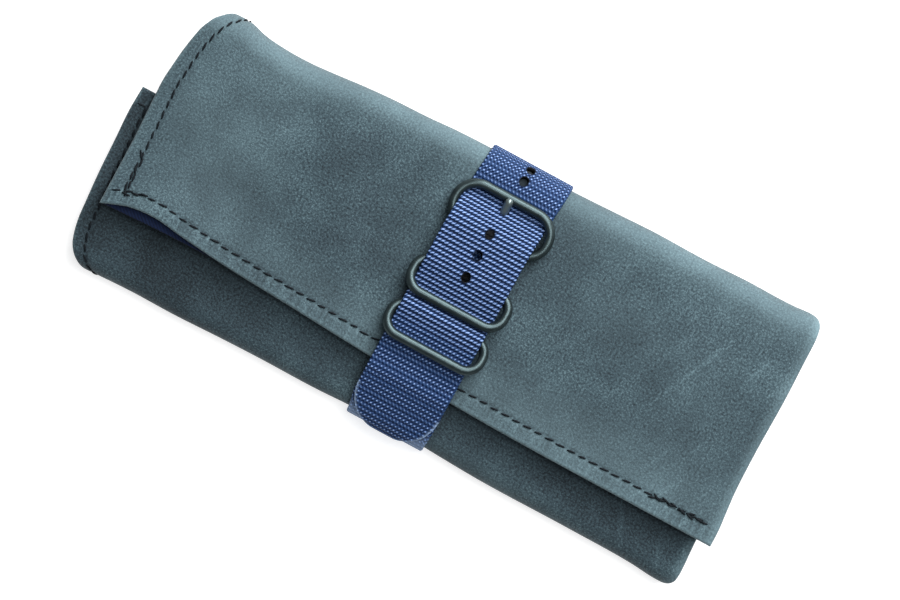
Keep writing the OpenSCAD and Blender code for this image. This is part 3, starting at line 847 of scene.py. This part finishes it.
def tail_under(y):
    """The tail climbs from the flap to the buckle's bar, then dips between the bars."""
    down = tail_low + (tail_high - tail_low) * (1 - ease((y - buckle_bar_y) / 12.5))
    held = np.interp(y, (-24, -20, -15.4, -14.6, -6.6, -5.4, -1.6, -0.6, 7.4, 8.6, buckle_bar_y),
                     (17.3, 17.7, 18.55, 18.55, 20.6, 20.6, 18.6, 18.6, 20.7, 20.8, tail_high))
    return np.where(y > buckle_bar_y, down, held)


def arc(cy, cz, r, low, high, count=60, tall=None):
    """Points round (cy, cz) from low to high degrees; tall is the other half axis of an oval."""
    angles = np.radians(np.linspace(low, high, count))
    return [(cy + r * math.cos(a), cz + (tall or r) * math.sin(a)) for a in angles]


fine_across = np.linspace(0, 1, 76)
front_turn = arc(front_turn_y, front_turn_z, 7.35, 270, 112, tall=front_turn_z)
base_top = front_turn + [(-25.6, 16.9), (-24, band_z), (buckle_bar_y, band_z)]
tail_turn = [(y, float(tail_under(y)) + tail_thick) for y in np.linspace(split_y, -23, 40)]
tail_turn += [(-25.9, 18.5)] + arc(front_turn_y, front_turn_z, 9.05, 110, 156.5, tall=8.0)
back_turn = arc(back_turn_y, back_turn_r, back_turn_r, -90, 90)
back_turn += [(y, float(tail_under(y)) + tail_thick) for y in np.linspace(36.2, split_y, 220)]
loop_top = arc(buckle_bar_y, bar_z, 2.3, -90, 90)
loop_top += [(y, float(band_under(y)) + loop_thick) for y in np.linspace(20.4, -13, 140)]
under_place, under_0, under_1, _ = route([(front_turn_y, 0.0), (back_turn_y, 0.0)], 1)
base_place, base_0, base_1, base_walk = route(base_top, -1)
back_place, back_0, back_1, back_walk = route(back_turn, 1)
tail_place, tail_0, tail_1, _ = route(tail_turn, 1, back_1)
loop_place, loop_0, loop_1, loop_walk = route(loop_top, 1)


def webbing_at(walk, y):
    """Distance along a route where it passes y, on its last pass."""
    s, ys = walk
    return float(s[np.argmin(np.abs(ys - y) + np.where(s < s[-1] * 0.4, 50, 0))])


def tip_half(s):
    """Half the tail's width, round at its end."""
    left_over = np.clip(strap_half - (tail_1 - s), 0, strap_half)
    return np.maximum(np.sqrt(np.clip(strap_half ** 2 - left_over ** 2, 0, None)), 1.6)


def tip_melt(s, x):
    """The melted rim of the round end."""
    into = np.clip(strap_half - (tail_1 - s), 0, strap_half)
    rim = strap_half - np.hypot(into, x)
    return np.where(into > 0, np.exp(-(np.maximum(rim, 0) / 0.5) ** 2), 0) * 0.8


strap_under = panel("strap_under_run", under_place, np.arange(under_0, under_1, 0.4), lambda s: -strap_half,
                    lambda s: strap_half, np.linspace(0, 1, 60), under_thick, nylon, relief=ribs)
# The bend is drawn in a little where it turns under the front fold, and is paler there.
bend_end = webbing_at(base_walk, -27.0)
strap_bend = panel("strap_front_bend", base_place, np.linspace(base_0, bend_end, 90),
                   lambda s: 0.9 * (1 - ease((s - 14) / 8)) - strap_half,
                   lambda s: strap_half - 0.3 * (1 - ease((s - 14) / 8)),
                   fine_across, under_thick, nylon, relief=ribs,
                   wear_and_shade=lambda s, x: 0.42 * (1 - ease((s - 14) / 6)))
strap_base = panel("strap_buckle_run", base_place, np.linspace(bend_end, base_1, 145), lambda s: -strap_half,
                   lambda s: strap_half, fine_across, band_thick, nylon, relief=ribs)
hole_long = 1.5
hole_wide = 1.25
prong_hole_wide = 1.35
hole_marks = [webbing_at(back_walk, y) for y in (21.6, 14.7, 7.9)]
hole_marks += [back_turn_r * math.radians(90 + a) for a in (39, 70)]
tail_holes = [(s, 0.0, hole_long, hole_wide) for s in hole_marks[1:]]
tail_holes += [(webbing_at(back_walk, 29.3), 0.0, hole_long, prong_hole_wide)]


def near_hole(s, x, marks):
    """-1 at each hole's rim, 0 away from it: partly a melted rim, partly painted shade in the hole."""
    rims = [np.maximum(np.hypot((s - m) / hole_long, x / hole_wide) - 1.0, 0) for m in marks]
    return -np.max([np.exp(-(rim / 0.16) ** 2) for rim in rims], 0)


def tail_ribs(s, x):
    """The first hole is a pit only: the buckle's bar lies right below it."""
    pit = np.hypot((s - hole_marks[0]) / hole_long, x / hole_wide)
    return ribs(s, x) - 0.75 * ease((1.12 - pit) / 0.2)


# The tail's holes, the first pit included, are darkened round their rims: partly melted rim, partly painted
# shade.
strap_back = panel("strap_tail_run", back_place, np.arange(back_0, back_1 + 0.1, 0.3), lambda s: -strap_half,
                   lambda s: strap_half, fine_across, tail_thick, nylon, relief=tail_ribs, holes=tail_holes,
                   wear_and_shade=lambda s, x: near_hole(s, x, hole_marks))
strap_tip = panel("strap_tail_tip", tail_place, np.arange(tail_0, tail_1, 0.3),
                  lambda s: -tip_half(s), tip_half, fine_across, tail_thick, nylon,
                  wear_and_shade=tip_melt, relief=ribs)
loop_half = 10.3
loop_marks = [webbing_at(loop_walk, y) for y in (14.7, 7.9)]
prong_slot = (4.8, 0.0, 4.5, 1.6)
# The band is darkened where the tail's holes look down on it: painted shade in the holes.
strap_loop = panel("strap_folded_end", loop_place, np.arange(loop_0, loop_1, 0.33),
                   lambda s: -loop_half, lambda s: loop_half, np.linspace(0, 1, 66), loop_thick, nylon,
                   relief=lambda s, x: 0.5 * ribs(s, x), holes=[prong_slot],
                   wear_and_shade=lambda s, x: near_hole(s, x, loop_marks))
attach(strap_under, "case_body")
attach(strap_bend, "case_body")
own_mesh(strap_bend)
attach(strap_base, "buckle_strap")
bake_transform(strap_back)
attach(strap_tip, "flap")
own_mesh(strap_tip)
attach(strap_loop, "buckle_strap")
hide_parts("strap_under")
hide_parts("strap_front_wrap")
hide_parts("strap_buckle_end")
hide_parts("strap_back_wrap")
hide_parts("strap_tail")

tack_half = 9.2
tack_gap = 0.9
tacks = []
for tack_y in (14.3, 1.0, -11.2):
    for tack_s in (webbing_at(loop_walk, tack_y), webbing_at(loop_walk, tack_y) + tack_gap):
        tacks.append(stitch_line(loop_place, [(tack_s, -tack_half), (tack_s, tack_half)],
                                 pitch=1.9, wander=0.1, tilt=0.3, sink=-0.05, seed=tack_y))
tack_piece = sew("strap_bar_tacks", tacks, Stitch_Length=0.0021, Thread_Width=0.0006, Thread_Height=0.0005)
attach(tack_piece, "buckle_strap")
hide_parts("loop_bartacks")
anchor_low, anchor_high = [[c * 1000 for c in corner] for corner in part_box("strap_anchor_seam")]
anchor_rows = []
for anchor_y in (anchor_low[1] + 0.5, anchor_high[1] - 0.5):
    anchor_s = anchor_y - front_turn_y
    anchor_line = [(anchor_s, anchor_low[0] + 0.5), (anchor_s, anchor_high[0] - 0.5)]
    anchor_rows.append(stitch_line(under_place, anchor_line,
                                   pitch=2.4, wander=0.1, tilt=0.1, sink=0.0, seed=anchor_y))
anchor_piece = sew("strap_anchor_stitches", anchor_rows, Stitch_Length=0.002)
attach(anchor_piece, "case_body")
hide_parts("strap_anchor_seam")


# The buckle's frame, its prong and the keepers: round steel wire, bent and welded, in a satin gunmetal
# finish; the prong is paler, partly rubbed bright and partly painted light. The folded-back webbing holds
# the bars of all three rings.
def satin_steel(name, deep, worn_and_shaded, gloss):
    material, shader, wire = finish_of(name, 0.35, metallic=0.85)
    metal_at = wire.node("ShaderNodeTexCoord", output=3)
    dull = wire.node("ShaderNodeTexNoise", Vector=metal_at, Scale=350.0, Detail=4.0)
    peel = wire.node("ShaderNodeTexNoise", Vector=metal_at, Scale=2600.0, Detail=2.0)
    plug(dull.mix((*srgb(*deep), 1), (*srgb(*worn_and_shaded), 1)), shader, "Base Color")
    plug(dull * 0.18 + gloss, shader, "Roughness")
    plug(wire.node("ShaderNodeBump", Strength=0.08, Distance=0.0001, Height=peel), shader, "Normal")
    return material


gunmetal = satin_steel("satin_gunmetal", (36, 46, 49), (66, 80, 82), 0.28)
# The prong's paler steel: partly rubbed bright, partly a painted reflection of light on its top.
rubbed_steel_and_painted_light = satin_steel("rubbed_steel_and_painted_light", (76, 90, 92), (136, 150, 150), 0.24)
ring_half = 14.5
wire_r = 1.35
sides = 20


def bent_wire(name, runs, metal=gunmetal):
    """Flat-bent wires; a run is (points, normal of its plane, half widths, half heights, closed)."""
    points, faces = [], []
    around = np.linspace(0, 2 * math.pi, sides, endpoint=False)
    for path, plane, wide_at, high_at, closed in runs:
        path, plane, start = np.array(path), np.array(plane, dtype=float), len(points)
        count = len(path)
        ahead = np.roll(path, -1, 0) - np.roll(path, 1, 0) if closed else np.gradient(path, axis=0)
        ahead /= np.linalg.norm(ahead, axis=1)[:, None]
        for k in range(count):
            side = np.cross(ahead[k], plane)
            ring = plane * np.outer(np.cos(around), [wide_at[k]])
            ring = ring + side * np.outer(np.sin(around), [high_at[k]])
            points += (path[k] + ring).tolist()
        for k in range(count if closed else count - 1):
            a, b = start + k * sides, start + (k + 1) % count * sides
            faces += [(a + i, a + (i + 1) % sides, b + (i + 1) % sides, b + i) for i in range(sides)]
        if not closed:
            for end in (start, start + (count - 1) * sides):
                faces.append(tuple(end + i for i in range(sides)))
    mesh = bpy.data.meshes.new(name)
    mesh.from_pydata((np.array(points) * 0.001).tolist(), [], faces)
    piece = smooth_piece(name, mesh, metal)
    return piece


def ring_outline(span, near, far):
    """A round-cornered ring, its held bar along X at 0 and its free bar at span."""
    outline = []
    for cx, cy, r, low in (
        (ring_half - far, span - far, far, 0),
        (far - ring_half, span - far, far, 90),
        (near - ring_half, near, near, 180),
        (ring_half - near, near, near, 270),
    ):
        outline += arc(cx, cy, r, low, low + 90, 14)
        if low in (0, 180):
            last = outline[-1]
            outline += [(last[0] + (-1 if low == 0 else 1) * step, last[1]) for step in (4, 8, 12, 16)]
    return outline


keep_lean = math.radians(16.7)
for piece_name, node, body, at_y, span, near, far, lean, way, skew in (
    ("frame_wire", "buckle_frame", "frame", buckle_bar_y, 12.6, 5.8, 6.3, 0.0, 1, 0.5),
    ("upper_keeper_wire", "keeper_upper", "upper_keeper", upper_bar_y, 10.2, 4.2, 4.7, keep_lean, -1, -0.2),
    ("lower_keeper_wire", "keeper_lower", "lower_keeper", lower_bar_y, 9.7, 4.2, 4.6, keep_lean, -1, -0.2),
):
    ring = [
        (x + skew, at_y + way * r * math.cos(lean), bar_z + r * math.sin(lean))
        for x, r in ring_outline(span, near, far)
    ]
    even = [wire_r] * len(ring)
    plane = (0, -way * math.sin(lean), math.cos(lean))
    wire_piece = bent_wire(piece_name, [(ring, plane, even, even, True)])
    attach(wire_piece, body)
    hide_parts(node)

# The prong: a flattened wire with an eye round the buckle's bar. It runs low below the tail, bends up
# through the hole and ends round on the frame.
eye = [(0, y, z) for y, z in arc(buckle_bar_y, bar_z, 1.95, 0, 360, 41)[:-1]]
prong_r = 1.2
shank_from = 22.3
bend_from = 27.6
round_end = np.radians(np.linspace(0, 80, 8))
shank_y = np.concatenate([np.linspace(shank_from, 31.7, 40), 31.8 + prong_r * np.sin(round_end)])
bend = np.clip(shank_y - bend_from, 0, None)
climb = 0.64 * (np.sqrt(bend ** 2 + 0.6) - 0.775)
shank_z = bar_z - 0.9 * ease((shank_y - shank_from) / 3) + climb
shank = [(0, y, z) for y, z in zip(shank_y, shank_z)]
taper = np.concatenate([[prong_r] * 40, prong_r * np.cos(round_end)])
pressed = taper * (0.55 + 0.45 * ease((shank_y - 27) / 2.5))
prong_piece = bent_wire("prong_wire", [(eye, (1, 0, 0), [1.0] * 40, [0.5] * 40, True),
                                       (shank, (1, 0, 0), taper, pressed, False)], rubbed_steel_and_painted_light)
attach(prong_piece, "prong")
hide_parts("buckle_prong")
